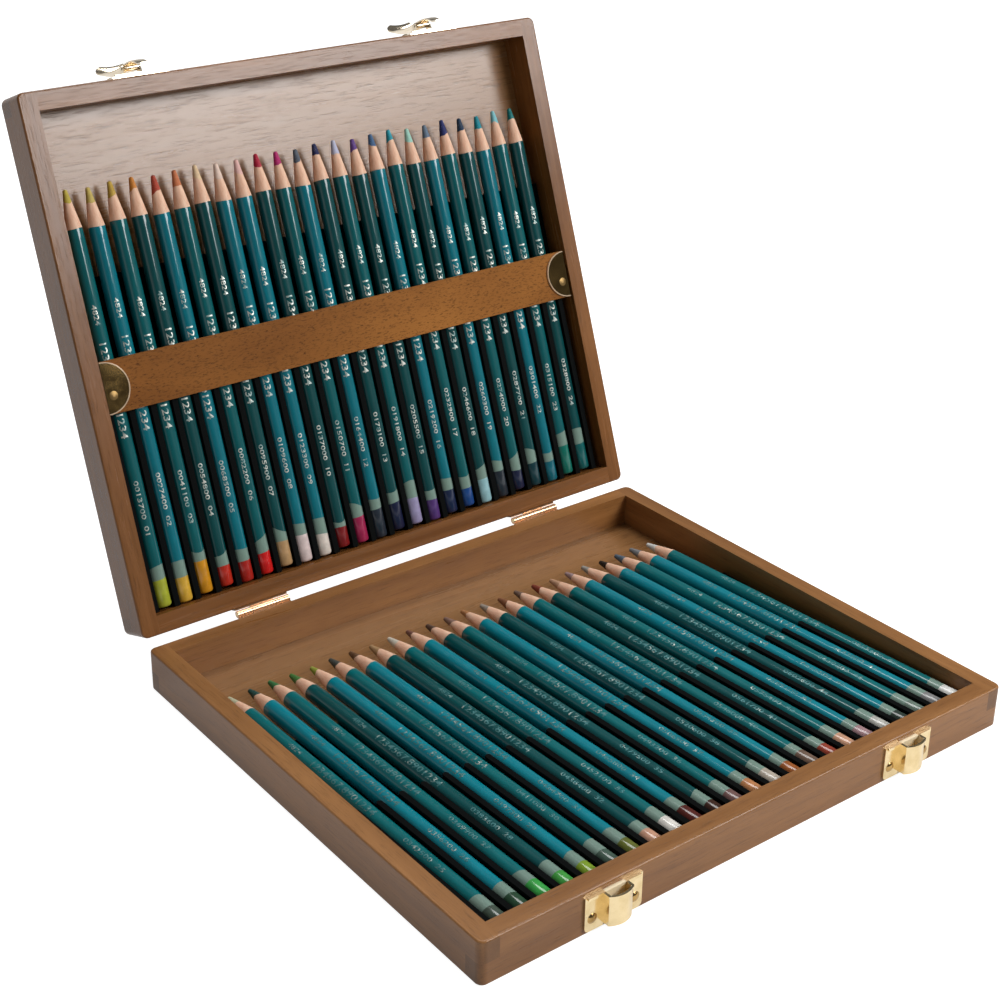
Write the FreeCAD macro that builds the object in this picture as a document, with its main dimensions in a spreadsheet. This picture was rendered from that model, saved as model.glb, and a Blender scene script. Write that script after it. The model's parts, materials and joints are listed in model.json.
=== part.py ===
import FreeCAD, Part

import math
import os
import re

import Sketcher

# Hinged wooden pencil case: two equal trays joined along their rear edges,
# the lid tray standing open on its stop hinges, a row of pencils in each.
# Millimetres. +Z is up, the front of the case faces -Y, the origin is the
# centre of the base tray's underside.

os.makedirs("parts", exist_ok=True)
doc = FreeCAD.newDocument("pencil_case")
sheet = doc.addObject("Spreadsheet::Sheet", "Sizes")

sizes = {
    # trays
    "case_width": 260.0,         # outside, along the hinge line
    "case_depth": 225.0,         # outside, front to rear
    "tray_height": 18.0,         # outside height of each tray
    "wall": 8.0,                 # thickness of the four boards
    "panel_thickness": 3.0,
    "panel_groove": 4.0,         # how far the panel is let into the boards
    "panel_play": 0.15,
    "corner_radius": 3.0,        # upright corners
    "edge_round": 0.8,           # long outside edges
    "rim_gap": 0.4,              # between the two rims when shut
    "open_angle": 110.0,         # where the stop hinges hold the lid
    # hinges
    "hinge_offset": 2.44,        # hinge line behind the rear face
    "hinge_spread": 148.0,       # centre to centre; the latches line up with it
    "hinge_length": 25.4,
    "leaf_thickness": 0.8,
    "leaf_width": 10.0,          # down the tray's rear face
    "leaf_drop": 0.4,            # from the rim down to the leaf
    "knuckle_radius": 1.5,
    "end_knuckle": 7.0,
    "knuckle_play": 0.15,        # between knuckles, along the pin
    "hinge_pin_radius": 0.75,
    "pin_play": 0.05,            # running fit of every pin, on the radius
    "leaf_screw_spread": 15.0,
    "leaf_screw_drop": 6.0,      # below the leaf's upper edge
    "leaf_screw_head": 1.3,
    "leaf_screw_radius": 0.7,
    "leaf_screw_length": 6.0,
    # latch plate and catch plate
    "plate_length": 25.5,
    "plate_height": 14.3,
    "plate_thickness": 0.8,
    "plate_corner": 2.0,
    "plate_lift": 1.4,           # from the underside to the plate's edge
    "bead_height": 1.1,
    "bead_rise": 0.7,
    "bead_inset": 0.75,
    "screw_spread": 19.0,
    "screw_lift": 5.1,           # above the plate's outer edge
    "screw_head": 2.1,
    "screw_head_rise": 0.9,
    "screw_radius": 1.0,
    "screw_length": 5.5,
    "screw_play": 0.1,
    "cutter_over": 1.0,          # how far a through cut runs past the material
    # pocket of the catch
    "pocket_width": 10.5,
    "pocket_side": 4.3,          # straight part of its side walls
    "pocket_reach": 6.0,         # crown of its bulged front
    "pocket_wall": 0.65,
    "pocket_ease": 0.2,          # how much lower its side walls are inside
    "pocket_lift": 1.9,
    "lip_height": 0.6,
    "lip_size": 0.35,
    # latch lever
    "pin_lift": 7.0,             # lever pin above the lid's outer panel
    "pin_reach": 4.6,            # and in front of the board
    "latch_pin_radius": 0.6,
    "ear_radius": 1.3,
    "ear_foot": 4.8,
    "ear_thickness": 0.8,
    "ear_play": 0.2,
    "pin_end": 0.2,              # past each ear
    "neck_width": 6.4,
    "lever_knuckle": 1.4,
    "waist_rise": 0.6,           # waist beyond the ears, and above the knuckle
    "waist_arch": 0.5,
    "tail_length": 15.9,
    "tail_width": 5.2,
    "tail_arch": 0.15,
    "tail_gauge": 0.6,
    "tail_sink": 0.1,            # outer skin of the tail's end below the pin
    "barb_depth": 0.85,
    "barb_height": 0.65,
    "flap_length": 13.0,
    "flap_width": 16.0,
    "flap_gauge": 0.7,
    "flap_rise": 6.0,            # crown of the flap's end above the pin
    "flap_crown": 3.2,           # arch of the flap's end
    # pencils and the combs that hold them
    "pencil_diameter": 7.14,
    "pencil_length": 176.0,
    "cone_length": 16.5,
    "core_length": 6.2,
    "tip_radius": 0.5,
    "dip_chamfer": 0.9,
    "pencil_slack": 1.2,         # how unevenly the pencils lie lengthwise
    "end_gap": 0.5,
    "comb_base": 3.3,
    "comb_play": 0.3,
    "seat_gap": 0.03,
    "ridge_height": 6.8,
    "ridge_play": 0.1,
    "base_end_margin": 9.6,      # left wall to the first pencil's end
    "base_end_pitch": 10.01,
    "base_tip_margin": 6.0,      # left wall to the first pencil's tip
    "base_tip_pitch": 9.7,
    "base_ridge_length": 79.8,
    "lid_end_margin": 7.5,
    "lid_end_pitch": 9.89,
    "lid_tip_margin": 6.2,
    "lid_tip_pitch": 9.89,
    "lid_ridge_length": 92.0,
    "comb_length": 140.0,
    # retaining bar and its turn clips
    "bar_middle": 103.6,         # from the hinge-side outer face
    "bar_width": 21.9,
    "bar_thickness": 2.5,
    "bar_gap": 0.1,              # above the pencils
    "bar_play": 0.3,
    "clip_radius": 10.9,
    "clip_centre": 1.1,          # centre of the clip's arc from the wall
    "clip_wall_gap": 0.7,        # straight edge of the clip from the wall
    "clip_thickness": 0.8,
    "clip_lift": 0.05,
    "clip_pin_inset": 4.0,       # rivet from the wall
    "clip_pin_shift": 3.4,       # rivet from the clip's middle, to the hinge
    "clip_sweep_play": 0.3,      # around the clip in its slot
    "clip_slot_play": 0.15,      # above and below it
    "rivet_radius": 1.1,
    "rivet_head": 1.9,
    "rivet_head_rise": 0.25,
    "rivet_depth": 2.4,
}

for row, (alias, size) in enumerate(sizes.items(), 1):
    sheet.set("A%d" % row, alias)
    sheet.set("B%d" % row, str(size))
    sheet.setAlias("B%d" % row, alias)
doc.recompute()


# ---------------------------------------------------------------- helpers

def tied(text):
    """A formula on the sheet's own names, as the document writes it."""
    return re.sub(r"[a-z][a-z_]*", lambda m: "Sizes." + m.group() if m.group() in sizes else m.group(), text)


def worth(text):
    """The number that a formula gives now."""
    return float(sheet.evalExpression(tied(text)))


def new_body(label):
    body = doc.addObject("PartDesign::Body", label)
    body.Label = label
    return body


def new_sketch(body, plane, lift="0"):
    """An empty sketch on one of the body's own origin planes."""
    sketch = body.newObject("Sketcher::SketchObject", body.Name + "_outline")
    origin = [o for o in body.Origin.OriginFeatures if o.Role == plane + "_Plane"][0]
    sketch.AttachmentSupport = (origin, [""])
    sketch.MapMode = "FlatFace"
    sketch.setExpression("AttachmentOffset.Base.z", tied(lift))
    return sketch


def pin_down(sketch, kind, where, text):
    """One dimension of a sketch, bound to the sheet."""
    index = sketch.addConstraint(Sketcher.Constraint(kind, *where, worth(text)))
    sketch.setExpression("Constraints[%d]" % index, tied(text))


def draw_outline(sketch, corners, arcs=None):
    """Closed outline through corners given as formulas, counter-clockwise.

    arcs maps a corner's index to the radius of the side that leaves it:
    positive bulges outward, negative inward, "half" is an outward half circle.
    """
    arcs = arcs or {}
    spots = [FreeCAD.Vector(worth(x), worth(y), 0) for x, y in corners]
    ends = []
    for i, start in enumerate(spots):
        stop = spots[(i + 1) % len(spots)]
        if i in arcs:
            chord = stop - start
            half = chord.Length / 2
            radius = half if arcs[i] == "half" else worth(arcs[i])
            sagitta = abs(radius) - math.sqrt(max(radius * radius - half * half, 0))
            outward = FreeCAD.Vector(chord.y, -chord.x, 0).normalize()
            crown = (start + stop) * 0.5 + outward * math.copysign(sagitta, radius)
            edge = sketch.addGeometry(Part.Arc(start, crown, stop), False)
        else:
            edge = sketch.addGeometry(Part.LineSegment(start, stop), False)
        first = sketch.getPoint(edge, 1)
        forward = (first - start).Length < (first - stop).Length
        ends.append((edge, 1, 2) if forward else (edge, 2, 1))
    for i, (edge, first, last) in enumerate(ends):
        following = ends[(i + 1) % len(ends)]
        sketch.addConstraint(Sketcher.Constraint("Coincident", edge, last, following[0], following[1]))
    for (edge, first, last), (x, y) in zip(ends, corners):
        pin_down(sketch, "DistanceX", (-1, 1, edge, first), x)
        pin_down(sketch, "DistanceY", (-1, 1, edge, first), y)
    for i, text in arcs.items():
        if text != "half":
            pin_down(sketch, "Radius", (ends[i][0],), text.lstrip("-"))
        elif near(spots[i].y, spots[(i + 1) % len(spots)].y):
            pin_down(sketch, "DistanceY", (-1, 1, ends[i][0], 3), corners[i][1])
        else:
            pin_down(sketch, "DistanceX", (-1, 1, ends[i][0], 3), corners[i][0])


def outline(body, plane, corners, arcs=None, lift="0"):
    sketch = new_sketch(body, plane, lift)
    draw_outline(sketch, corners, arcs)
    return sketch


def rectangle(body, plane, x_low, y_low, x_high, y_high, lift="0"):
    corners = [(x_low, y_low), (x_high, y_low), (x_high, y_high), (x_low, y_high)]
    return outline(body, plane, corners, None, lift)


def circles(body, plane, rounds, lift="0"):
    """Circles given as formulas of centre x, centre y and radius."""
    sketch = new_sketch(body, plane, lift)
    for x, y, radius in rounds:
        middle = FreeCAD.Vector(worth(x), worth(y), 0)
        edge = sketch.addGeometry(Part.Circle(middle, FreeCAD.Vector(0, 0, 1), worth(radius)), False)
        pin_down(sketch, "DistanceX", (-1, 1, edge, 3), x)
        pin_down(sketch, "DistanceY", (-1, 1, edge, 3), y)
        pin_down(sketch, "Radius", (edge,), radius)
    return sketch


def pad(body, sketch, length, backward=False, middle=False):
    feature = body.newObject("PartDesign::Pad", body.Name + "_pad")
    feature.Profile = sketch
    feature.Reversed = backward
    feature.Midplane = middle
    feature.setExpression("Length", tied(length))
    doc.recompute()
    return feature


def cut(body, sketch, length, backward=False, middle=False):
    """A pocket that must take material away."""
    before = body.Shape.Volume
    feature = body.newObject("PartDesign::Pocket", body.Name + "_cut")
    feature.Profile = sketch
    feature.Reversed = backward
    feature.Midplane = middle
    feature.setExpression("Length", tied(length))
    doc.recompute()
    if body.Shape.Volume > before - 1e-6:
        raise RuntimeError("a cut of %s takes nothing away" % body.Label)
    return feature


def spin(body, sketch):
    """Turn a half outline about the sketch's upright axis."""
    feature = body.newObject("PartDesign::Revolution", body.Name + "_turned")
    feature.Profile = sketch
    feature.ReferenceAxis = (sketch, ["V_Axis"])
    feature.Angle = 360
    doc.recompute()
    return feature


def round_edges(body, radius, wanted):
    """Fillet those edges of the body whose middle passes the test."""
    base = body.Tip
    names = []
    for i, edge in enumerate(base.Shape.Edges, 1):
        spot = edge.valueAt((edge.FirstParameter + edge.LastParameter) / 2)
        if wanted(spot, edge):
            names.append("Edge%d" % i)
    feature = body.newObject("PartDesign::Fillet", body.Name + "_rounded")
    feature.Base = (base, names)
    feature.setExpression("Radius", tied(radius))
    doc.recompute()
    return feature


def turn(axis, degrees):
    return FreeCAD.Placement(FreeCAD.Vector(), FreeCAD.Rotation(FreeCAD.Vector(*axis), degrees))


def shift(x, y, z):
    return FreeCAD.Placement(FreeCAD.Vector(x, y, z), FreeCAD.Rotation())


def near(a, b):
    return abs(a - b) < 1e-4


# ---------------------------------------------------------------- places

# Both trays are drawn alike, lying on their outer panel with the rim up and
# centred on the origin. The base stays there, with its hinges on the +Y side.
# The lid has them on its -Y side and is swung back about the hinge line.
half_width = worth("case_width / 2")
half_depth = worth("case_depth / 2")
rim = worth("tray_height")
hinge_y = worth("case_depth / 2 + hinge_offset")
hinge_z = worth("tray_height + rim_gap / 2")
inner = worth("case_width - 2 * wall")
left_wall = -inner / 2
end_wall = -half_depth + worth("wall")
floor_top = worth("panel_thickness")

in_base = FreeCAD.Placement()
in_lid = (shift(0, hinge_y, hinge_z)
          * turn((1, 0, 0), 180 - worth("open_angle"))
          * shift(0, hinge_y, -hinge_z))

trays = {"base": (in_base, 1), "lid": (in_lid, -1)}
sides = {"left": "-", "right": ""}
parts = {}


def side_sign(side):
    return -1 if side == "left" else 1


def keep(thing, place):
    """Place a finished sub-part and put it on the list of kept ones."""
    thing.Placement = place
    parts[thing.Label] = thing
    return thing


# ---------------------------------------------------------------- boards


def board_rounds(body):
    """Round the long outside edges of a board, at the rim and underneath."""
    flat_x = half_width - worth("corner_radius")
    flat_y = half_depth - worth("corner_radius")

    def outside(spot, edge):
        if not (near(spot.z, 0) or near(spot.z, rim)):
            return False
        if near(abs(spot.x), half_width) or near(abs(spot.y), half_depth):
            return True
        across = math.hypot(abs(spot.x) - flat_x, abs(spot.y) - flat_y)
        return edge.Curve.TypeId == "Part::GeomCircle" and near(across, worth("corner_radius"))

    round_edges(body, "edge_round", outside)


def long_outline(body, y, lift="0"):
    """Plan of a front or rear board, with the case's two rounded corners on it."""
    if y < 0:
        corners = [("-case_width / 2", "-case_depth / 2 + corner_radius"),
                   ("-case_width / 2 + corner_radius", "-case_depth / 2"),
                   ("case_width / 2 - corner_radius", "-case_depth / 2"),
                   ("case_width / 2", "-case_depth / 2 + corner_radius"),
                   ("case_width / 2", "-case_depth / 2 + wall"),
                   ("-case_width / 2", "-case_depth / 2 + wall")]
    else:
        corners = [("case_width / 2", "case_depth / 2 - corner_radius"),
                   ("case_width / 2 - corner_radius", "case_depth / 2"),
                   ("-case_width / 2 + corner_radius", "case_depth / 2"),
                   ("-case_width / 2", "case_depth / 2 - corner_radius"),
                   ("-case_width / 2", "case_depth / 2 - wall"),
                   ("case_width / 2", "case_depth / 2 - wall")]
    return outline(body, "XY", corners, {0: "corner_radius", 2: "corner_radius"}, lift)


def cut_panel_rebate(body):
    reach_x = "case_width / 2 - wall + panel_groove + panel_play"
    reach_y = "case_depth / 2 - wall + panel_groove + panel_play"
    rebate = rectangle(body, "XY", "-(%s)" % reach_x, "-(%s)" % reach_y, reach_x, reach_y)
    cut(body, rebate, "panel_thickness", backward=True)


def long_board(label, y, place, fittings):
    """Front or rear board: the outer halves of its ends are the corner fingers."""
    body = new_body(label)
    pad(body, long_outline(body, y), "tray_height")
    board_rounds(body)
    for sign in ("-", ""):
        inner_x = "%s(case_width / 2 - wall)" % sign
        outer_x = "%s(case_width / 2 + wall)" % sign
        low, high = (outer_x, inner_x) if sign == "-" else (inner_x, outer_x)
        y_low, y_high = ("-case_depth", "0") if y < 0 else ("0", "case_depth")
        socket = rectangle(body, "XY", low, y_low, high, y_high, "tray_height / 2")
        cut(body, socket, "tray_height / 2", backward=True)
    cut_panel_rebate(body)
    fittings(body)
    return keep(body, place)


def side_board(label, side, place, fittings):
    """Left or right board: the rim half of its ends is the corner finger."""
    body = new_body(label)
    if side == "left":
        x_low, x_high = "-case_width / 2", "-case_width / 2 + wall"
        corners = [("-case_width / 2 + wall", "-case_depth / 2"),
                   ("-case_width / 2 + wall", "case_depth / 2"),
                   ("-case_width / 2 + corner_radius", "case_depth / 2"),
                   ("-case_width / 2", "case_depth / 2 - corner_radius"),
                   ("-case_width / 2", "-case_depth / 2 + corner_radius"),
                   ("-case_width / 2 + corner_radius", "-case_depth / 2")]
    else:
        x_low, x_high = "case_width / 2 - wall", "case_width / 2"
        corners = [("case_width / 2 - wall", "case_depth / 2"),
                   ("case_width / 2 - wall", "-case_depth / 2"),
                   ("case_width / 2 - corner_radius", "-case_depth / 2"),
                   ("case_width / 2", "-case_depth / 2 + corner_radius"),
                   ("case_width / 2", "case_depth / 2 - corner_radius"),
                   ("case_width / 2 - corner_radius", "case_depth / 2")]
    reach_y = "case_depth / 2 - wall"
    pad(body, rectangle(body, "XY", x_low, "-(%s)" % reach_y, x_high, reach_y), "tray_height")
    fingers = outline(body, "XY", corners, {2: "corner_radius", 4: "corner_radius"}, "tray_height / 2")
    pad(body, fingers, "tray_height / 2")
    board_rounds(body)
    cut_panel_rebate(body)
    fittings(body)
    return keep(body, place)


def no_fittings(body):
    return None


def hinge_holes(hinge_side):
    """Screw holes for the two hinge leaves on the rear face."""
    def fit(body):
        holes = [("%shinge_spread / 2 %s leaf_screw_spread / 2" % (flip, step), leaf_screw_lift,
                  "leaf_screw_radius + screw_play") for flip in ("-", "") for step in ("-", "+")]
        # The XZ plane faces -Y, so the lift is measured that way.
        lift = "-case_depth / 2" if hinge_side > 0 else "case_depth / 2"
        cut(body, circles(body, "XZ", holes, lift), "leaf_screw_length", backward=hinge_side > 0)
    return fit


def plate_holes(hinge_side):
    """Screw holes for the two plates on the board away from the hinges."""
    def fit(body):
        holes = [("%shinge_spread / 2 %s screw_spread / 2" % (flip, step), "plate_lift + screw_lift",
                  "screw_radius + screw_play") for flip in ("-", "") for step in ("-", "+")]
        # The XZ plane faces -Y, so the lift is measured that way.
        lift = "case_depth / 2" if hinge_side > 0 else "-case_depth / 2"
        cut(body, circles(body, "XZ", holes, lift), "screw_length", backward=hinge_side < 0)
    return fit


def clip_slot(side):
    """Slot in the side wall, just under the rim, that the turn clip swings into."""
    def fit(body):
        pin_x = "case_width / 2 - wall - clip_pin_inset"
        swings = [(pin_x, clip_y, near_corner), (pin_x + " - clip_pin_inset + clip_centre",
                                                 clip_y + " - clip_pin_shift", "clip_radius")]
        for x, y, radius in swings:
            swing = [("%s(%s)" % (sides[side], x), y, radius + " + clip_sweep_play")]
            floor = clip_floor + " - clip_slot_play"
            cut(body, circles(body, "XY", swing, floor), "clip_thickness + 2 * clip_slot_play", backward=True)
    return fit


# Heights in a tray, from the underside up.
pencil_height = "panel_thickness + comb_base + seat_gap + pencil_diameter / 2"
bar_floor = pencil_height + " + pencil_diameter / 2 + bar_gap"
clip_floor = bar_floor + " + bar_thickness + clip_lift"
leaf_top = "tray_height - leaf_drop"
leaf_screw_lift = leaf_top + " - leaf_screw_drop"

# The bar and the rivets of its clips, from the middle of the tray.
bar_rear = "bar_middle - case_depth / 2 - bar_width / 2"
clip_y = "bar_middle - case_depth / 2 - clip_pin_shift"

# The turn clip is a disc with a straight edge, turned about an off-centre
# rivet. Its near corner passes through the wall, and its arc ends up in it.
clip_half = "sqrt(clip_radius^2 - (clip_centre - clip_wall_gap)^2)"
near_corner = "sqrt((clip_pin_inset - clip_wall_gap)^2 + (%s - clip_pin_shift)^2)" % clip_half


def build_boards():
    for tray, (place, hinge_side) in trays.items():
        hinge_fit = hinge_holes(hinge_side)
        plate_fit = plate_holes(hinge_side)
        long_board(tray + "_front_board", -hinge_side, place, plate_fit)
        long_board(tray + "_rear_board", hinge_side, place, hinge_fit)
        for side in sides:
            fit = clip_slot(side) if tray == "lid" else no_fittings
            side_board("%s_%s_board" % (tray, side), side, place, fit)
    for label, place in (("base_floor_panel", in_base), ("lid_top_panel", in_lid)):
        body = new_body(label)
        reach_x = "case_width / 2 - wall + panel_groove"
        reach_y = "case_depth / 2 - wall + panel_groove"
        sheet_outline = rectangle(body, "XY", "-(%s)" % reach_x, "-(%s)" % reach_y, reach_x, reach_y)
        pad(body, sheet_outline, "panel_thickness")
        keep(body, place)


# ---------------------------------------------------------------- hinges

def hinge_leaf(label, side, tray, place, hinge_side):
    """Leaf on the rear face: the base's carries the two end knuckles, the lid's the middle one."""
    body = new_body(label)
    sign = "" if hinge_side > 0 else "-"
    start = "%shinge_spread / 2 - hinge_length / 2" % sides[side]
    face, skin = "%scase_depth / 2" % sign, "%s(case_depth / 2 + leaf_thickness)" % sign
    line_y, line_z = "%s(case_depth / 2 + hinge_offset)" % sign, "tray_height + rim_gap / 2"

    def strip(depth, outer, along, length):
        low, high = (face, outer) if hinge_side > 0 else (outer, face)
        pad(body, rectangle(body, "YZ", low, leaf_top + " - " + depth, high, leaf_top, along), length)

    strip("leaf_width", skin, start, "hinge_length")
    if tray == "base":
        knuckles = [(start, "end_knuckle"), (start + " + hinge_length - end_knuckle", "end_knuckle")]
    else:
        knuckles = [(start + " + end_knuckle + knuckle_play",
                     "hinge_length - 2 * (end_knuckle + knuckle_play)")]
    for along, length in knuckles:
        strip("leaf_thickness", line_y, along, length)
        pad(body, circles(body, "YZ", [(line_y, line_z, "knuckle_radius")], along), length)
    bore = circles(body, "YZ", [(line_y, line_z, "hinge_pin_radius + pin_play")], start + " - cutter_over")
    cut(body, bore, "hinge_length + 2 * cutter_over", backward=True)
    holes = [("%shinge_spread / 2 %s leaf_screw_spread / 2" % (sides[side], step), leaf_screw_lift,
              "leaf_screw_head + screw_play") for step in ("-", "+")]
    lift = "-case_depth / 2" if hinge_side > 0 else "case_depth / 2"
    cut(body, circles(body, "XZ", holes, lift), "leaf_thickness", backward=hinge_side < 0)
    return keep(body, place)


def copies(label, shape, spots, place):
    """A node of identical pieces, each a solid of its own."""
    group = doc.addObject("Part::Feature", label)
    group.Label = label
    group.Shape = Part.makeCompound([shape.transformed(spot.toMatrix(), True) for spot in spots])
    return keep(group, place)


def leaf_screw():
    """Countersunk screw, its flat head at the origin and its shank down -Z."""
    body = new_body("leaf_screw_pattern")
    profile = [("0", "0"), ("0", "-leaf_screw_length"),
               ("leaf_screw_radius", "-leaf_screw_length + leaf_screw_radius"),
               ("leaf_screw_radius", "-leaf_thickness"), ("leaf_screw_head", "0")]
    spin(body, outline(body, "XZ", profile))
    return body.Shape


def build_hinges():
    for tray, (place, hinge_side) in trays.items():
        for side in sides:
            hinge_leaf("%s_hinge_leaf_%s" % (tray, side), side, tray, place, hinge_side)
    for side in sides:
        body = new_body("hinge_pin_" + side)
        middle = "%shinge_spread / 2" % sides[side]
        line = [("case_depth / 2 + hinge_offset", "tray_height + rim_gap / 2", "hinge_pin_radius")]
        pad(body, circles(body, "YZ", line, middle + " - hinge_length / 2"), "hinge_length")
        keep(body, in_base)
    screw = leaf_screw()
    for tray, (place, hinge_side) in trays.items():
        y = hinge_side * worth("case_depth / 2 + leaf_thickness")
        spots = [shift(flip * worth("hinge_spread / 2") + step * worth("leaf_screw_spread / 2"),
                       y, worth(leaf_screw_lift)) * turn((1, 0, 0), -90 * hinge_side)
                 for flip in (-1, 1) for step in (-1, 1)]
        copies(tray + "_hinge_screws", screw, spots, place)


# ---------------------------------------------------------------- latches

# A plate is drawn on its board's face: X along the board, Y up towards the
# rim from the tray's underside, Z out of the wood.
def on_face(tray, side):
    place, hinge_side = trays[tray]
    x = side_sign(side) * worth("hinge_spread / 2")
    face = shift(x, -hinge_side * half_depth, 0)
    if hinge_side < 0:
        face = face * turn((0, 0, 1), 180)
    return place * face * turn((1, 0, 0), 90)


def plate_body(label):
    """The flat of a plate: lower corners rounded, a bead along the rim side, two holes."""
    body = new_body(label)
    corners = [("-plate_length / 2 + plate_corner", "plate_lift"),
               ("plate_length / 2 - plate_corner", "plate_lift"),
               ("plate_length / 2", "plate_lift + plate_corner"),
               ("plate_length / 2", "plate_lift + plate_height"),
               ("-plate_length / 2", "plate_lift + plate_height"),
               ("-plate_length / 2", "plate_lift + plate_corner")]
    pad(body, outline(body, "XY", corners, {1: "plate_corner", 5: "plate_corner"}), "plate_thickness")
    holes = [("%sscrew_spread / 2" % step, "plate_lift + screw_lift", "screw_radius + screw_play")
             for step in ("-", "")]
    cut(body, circles(body, "XY", holes), "plate_thickness", backward=True)
    return body


def add_bead(body):
    """Rounded ridge along the plate's rim side, which the lever's barb hooks behind."""
    top = "plate_lift + plate_height"
    end = "plate_length / 2 - bead_inset - bead_height / 2"
    corners = [("-(%s)" % end, top + " - bead_height"), (end, top + " - bead_height"),
               (end, top), ("-(%s)" % end, top)]
    bead = outline(body, "XY", corners, {1: "half", 3: "half"}, "plate_thickness / 2")
    pad(body, bead, "plate_thickness / 2 + bead_rise")


def pocket_outline(body, half, foot, shoulder, crown, lift):
    """Bulged section of the pocket: straight sides up to the shoulder, arc to the crown."""
    sagitta = "(%s - (%s))" % (crown, shoulder)
    radius = "((%s)^2 + %s^2) / (2 * %s)" % (half, sagitta, sagitta)
    corners = [("-(%s)" % half, foot), (half, foot), (half, shoulder), ("-(%s)" % half, shoulder)]
    return outline(body, "XZ", corners, {2: radius}, lift)


def catch_plate(side):
    """Base plate with the bulged pocket that the lever's tail drops into."""
    body = plate_body("catch_plate_" + side)
    mouth = "-plate_lift - plate_height"
    depth = "plate_height - pocket_lift"
    outer = pocket_outline(body, "pocket_width / 2", "plate_thickness / 2", "pocket_side", "pocket_reach", mouth)
    pad(body, outer, depth)
    lip = pocket_outline(body, "pocket_width / 2 + lip_size", "plate_thickness / 2",
                         "pocket_side + lip_size / 2", "pocket_reach + lip_size", mouth)
    pad(body, lip, "lip_height")
    hollow = pocket_outline(body, "pocket_width / 2 - pocket_wall", "plate_thickness",
                            "pocket_side - pocket_ease", "pocket_reach - pocket_wall", mouth)
    cut(body, hollow, depth + " - pocket_wall", backward=True)
    add_bead(body)
    return keep(body, on_face("base", side))


def latch_plate(side):
    """Lid plate with the two ears that carry the lever's pin."""
    body = plate_body("latch_plate_" + side)
    add_bead(body)
    inside = "neck_width / 2 + ear_play"
    ear = [("pin_lift - ear_foot / 2", "plate_thickness / 2"), ("pin_lift + ear_foot / 2", "plate_thickness / 2"),
           ("pin_lift + ear_radius", "pin_reach"), ("pin_lift - ear_radius", "pin_reach")]
    for start in (inside, "-(%s) - ear_thickness" % inside):
        pad(body, outline(body, "YZ", ear, {2: "half"}, start), "ear_thickness")
    eye = circles(body, "YZ", [("pin_lift", "pin_reach", "latch_pin_radius + pin_play")])
    cut(body, eye, "neck_width + 2 * (ear_play + ear_thickness + cutter_over)", middle=True)
    return keep(body, on_face("lid", side))


def latch_pin(side):
    body = new_body("latch_pin_" + side)
    line = circles(body, "YZ", [("pin_lift", "pin_reach", "latch_pin_radius")])
    pad(body, line, "neck_width + 2 * (ear_play + ear_thickness + pin_end)", middle=True)
    return keep(body, on_face("lid", side))


def band(body, along, half, crown, arch, gauge):
    """One cross-section of the lever: a shallow arched strip across the pin's line."""
    radius = "((%s)^2 + (%s)^2) / (2 * (%s))" % (half, arch, arch)
    edge = "(%s) - (%s)" % (crown, arch)
    corners = [("-(%s)" % half, edge + " - " + gauge), (half, edge + " - " + gauge),
               (half, edge), ("-(%s)" % half, edge)]
    return outline(body, "XY", corners, {0: "-" + radius, 2: radius}, along)


def latch_lever(side):
    """See-saw lever, drawn about its pin: X along the pin, Y out of the lid, Z to the flap.

    A flat tail runs to the barb that hooks the catch; past the ears the strip
    fans out and arches into the duckbill that the finger works.
    """
    body = new_body("latch_lever_" + side)
    # Each section: place along the lever, half width, height of its back, arch, gauge.
    waist, waist_crown = "ear_radius + waist_rise", "lever_knuckle + waist_rise"
    strip = [("-tail_length", "tail_width / 2", "-tail_sink", "tail_arch", "tail_gauge"),
             ("-tail_length / 2", "tail_width / 2", "lever_knuckle / 3", "tail_arch", "tail_gauge"),
             ("-tail_length / 5", "neck_width / 2", "lever_knuckle * 4 / 5", "tail_arch", "tail_gauge"),
             (waist, "neck_width / 2", waist_crown, "waist_arch", "flap_gauge")]
    duckbill = [strip[-1]]
    for share, spread, arch in ((0.45, 0.62, 0.57), (1, 1, 1)):
        duckbill.append(("%s + (flap_length - (%s)) * %s" % (waist, waist, share),
                         "(neck_width + (flap_width - neck_width) * %s) / 2" % spread,
                         "%s + (flap_rise - (%s)) * %s" % (waist_crown, waist_crown, share),
                         "waist_arch + (flap_crown - waist_arch) * %s" % arch, "flap_gauge"))
    for shape in (strip, duckbill):
        bands = [band(body, *section) for section in shape]
        loft = body.newObject("PartDesign::AdditiveLoft", body.Name + "_strip")
        loft.Profile = bands[0]
        loft.Sections = bands[1:]
        doc.recompute()
    pad(body, circles(body, "YZ", [("0", "0", "lever_knuckle")]), "neck_width", middle=True)
    barb = rectangle(body, "XY", "-tail_width / 2", "-tail_sink - tail_gauge - barb_depth",
                     "tail_width / 2", "-tail_sink - tail_gauge / 2", "-tail_length")
    pad(body, barb, "barb_height")
    bore = circles(body, "YZ", [("0", "0", "latch_pin_radius + pin_play")])
    cut(body, bore, "flap_width", middle=True)
    about_pin = shift(0, worth("pin_lift"), worth("pin_reach")) * turn((1, 0, 0), 90)
    return keep(body, on_face("lid", side) * about_pin)


def plate_screw():
    """Domed wood screw, its head seated at the origin and its shank down -Z."""
    body = new_body("plate_screw_pattern")
    dome = "(screw_head^2 + screw_head_rise^2) / (2 * screw_head_rise)"
    reach = "-plate_thickness - screw_length + screw_play"
    profile = [("0", reach), ("screw_radius", reach + " + screw_radius"), ("screw_radius", "0"),
               ("screw_head", "0"), ("0", "screw_head_rise")]
    spin(body, outline(body, "XZ", profile, {3: dome}))
    return body.Shape


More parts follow.
